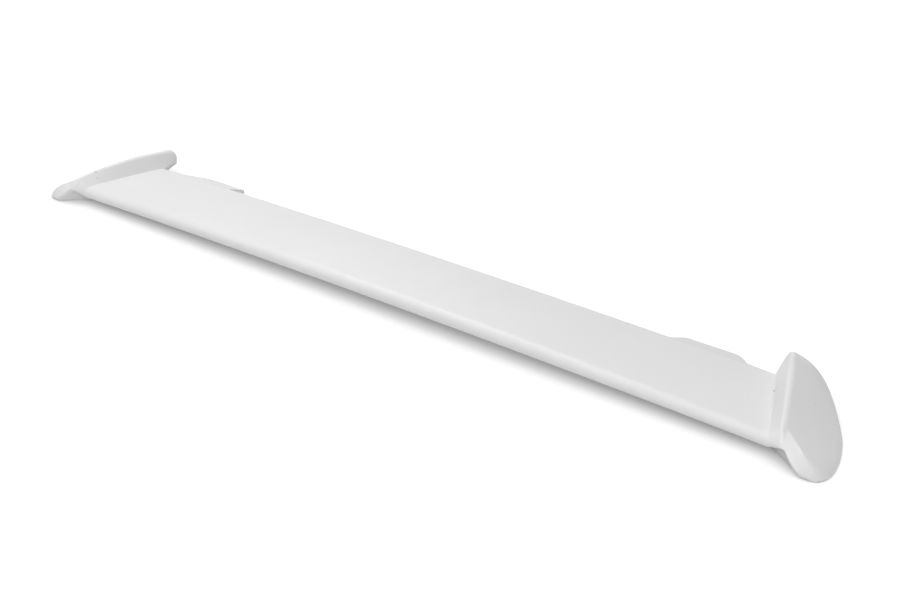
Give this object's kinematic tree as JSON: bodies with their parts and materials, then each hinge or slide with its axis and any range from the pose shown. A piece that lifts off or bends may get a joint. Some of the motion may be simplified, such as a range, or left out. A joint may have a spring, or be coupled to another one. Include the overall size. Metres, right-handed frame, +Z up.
{
  "type": "tailgate spoiler",
  "caption": "Long, low tailgate spoiler moulded in one piece: a slim crowned blade that folds over at each end into a short fin with a foot below it, and lugs on its rear edge for bonding.",
  "frame": {"origin": "middle of the bounding box at the height of the bonding faces, on the plane of symmetry", "axes": "+X along the blade, from one fin to the other; +Y from the nose back to the lugs; +Z up, away from the bonding faces"},
  "size_m": [1.2564, 0.1836, 0.0463],
  "materials": {
    "primed_moulding": "white in-mould primer on moulded polyurethane foam, satin, with a few pinholes"
  },
  "bodies": {
    "root": {"spoiler": "primed_moulding"}
  },
  "joints": []
}
